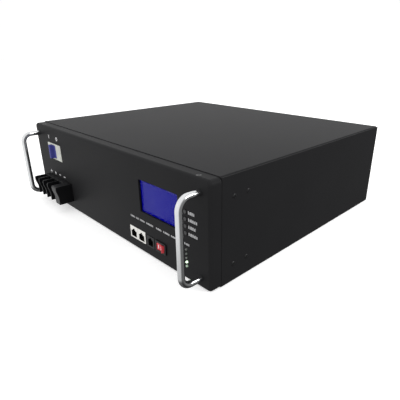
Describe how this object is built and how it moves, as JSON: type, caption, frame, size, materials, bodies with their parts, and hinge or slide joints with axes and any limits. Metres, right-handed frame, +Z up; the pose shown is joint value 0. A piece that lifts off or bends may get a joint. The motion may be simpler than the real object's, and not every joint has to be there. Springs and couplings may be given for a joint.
{
  "type": "battery pack",
  "caption": "Rack battery pack in a black steel case with D handles, breaker, barrier terminals, display, jacks, rocker switch, buttons and status lamps on its front panel.",
  "frame": {"origin": "middle of the case's underside, on the face it rests on", "axes": "+Z up; -Y the way the front panel faces; +X to the right seen from the front"},
  "size_m": [0.442, 0.4175, 0.1323],
  "materials": {
    "powder_coat": "matt black powder coat, fine texture",
    "polished_steel": "polished",
    "zinc_steel": "zinc plated",
    "breaker_plastic": "moulded, off-white",
    "lever_plastic": "moulded, blue",
    "black_plastic": "moulded, black",
    "window_acrylic": "clear, glossy",
    "display_glass": "smooth, blue",
    "jack_shield": "tinned sheet",
    "rocker_red": "moulded, red",
    "button_plastic": "moulded, dark grey",
    "lamp_lens": "clear lens",
    "circuit_board": "solder mask, satin",
    "aluminium": "plain, satin",
    "cell_film": "shrink film over an aluminium can",
    "glass_fibre": "matt sheet",
    "tray_plastic": "moulded, pale",
    "red_sleeve": "silicone sleeve",
    "black_sleeve": "silicone sleeve"
  },
  "bodies": {
    "root": {"front_panel": "powder_coat", "chassis_tray": "powder_coat", "top_cover": "powder_coat", "rear_panel": "powder_coat", "handle_left": "polished_steel", "handle_right": "polished_steel", "breaker_body": "breaker_plastic", "breaker_rail": "zinc_steel", "terminal_block": "black_plastic", "terminal_bolt_1": "zinc_steel", "terminal_bolt_2": "zinc_steel", "terminal_bolt_3": "zinc_steel", "terminal_bolt_4": "zinc_steel", "display_window": "window_acrylic", "display_module": "display_glass", "data_jack_left": "jack_shield", "data_jack_right": "jack_shield", "serial_jack": "black_plastic", "rocker_housing": "black_plastic", "status_lamp_1": "lamp_lens", "status_lamp_2": "lamp_lens", "status_lamp_3": "lamp_lens", "status_lamp_4": "lamp_lens", "status_lamp_5": "lamp_lens", "key_board": "circuit_board", "port_board": "circuit_board", "bay_divider": "zinc_steel", "manager_board": "circuit_board", "manager_heat_sink": "aluminium", "floor_insulator": "glass_fibre", "cell_01": "cell_film", "cell_02": "cell_film", "cell_03": "cell_film", "cell_04": "cell_film", "cell_05": "cell_film", "cell_06": "cell_film", "cell_07": "cell_film", "cell_08": "cell_film", "cell_09": "cell_film", "cell_10": "cell_film", "cell_11": "cell_film", "cell_12": "cell_film", "cell_13": "cell_film", "cell_14": "cell_film", "cell_15": "cell_film", "cell_16": "cell_film", "busbar_tray_1": "tray_plastic", "busbar_tray_2": "tray_plastic", "end_plate_left": "aluminium", "end_plate_right": "aluminium", "positive_cable": "red_sleeve", "breaker_cable": "red_sleeve", "pack_negative_cable": "black_sleeve", "cell_negative_cable": "black_sleeve"},
    "breaker_lever": {"breaker_lever": "lever_plastic"},
    "rocker_button": {"rocker_button": "rocker_red"},
    "menu_button_1": {"menu_button_1": "button_plastic"},
    "menu_button_2": {"menu_button_2": "button_plastic"},
    "menu_button_3": {"menu_button_3": "button_plastic"},
    "menu_button_4": {"menu_button_4": "button_plastic"}
  },
  "joints": [
    {"name": "breaker_lever_hinge", "type": "hinge", "parent": "root", "child": "breaker_lever", "pos_m": [-0.1555, -0.1835, 0.0915], "axis": [0, 0, 1], "range_deg": [0, 40]},
    {"name": "rocker_hinge", "type": "hinge", "parent": "root", "child": "rocker_button", "pos_m": [0.1335, -0.191, 0.0242], "axis": [0, 0, 1], "range_deg": [0, 22]},
    {"name": "menu_button_1_slide", "type": "slide", "parent": "root", "child": "menu_button_1", "axis": [0, 1, 0], "range_m": [0, 0.0006], "stiffness_N_per_m": 400},
    {"name": "menu_button_2_slide", "type": "slide", "parent": "root", "child": "menu_button_2", "axis": [0, 1, 0], "range_m": [0, 0.0006], "stiffness_N_per_m": 400},
    {"name": "menu_button_3_slide", "type": "slide", "parent": "root", "child": "menu_button_3", "axis": [0, 1, 0], "range_m": [0, 0.0006], "stiffness_N_per_m": 400},
    {"name": "menu_button_4_slide", "type": "slide", "parent": "root", "child": "menu_button_4", "axis": [0, 1, 0], "range_m": [0, 0.0006], "stiffness_N_per_m": 400}
  ]
}
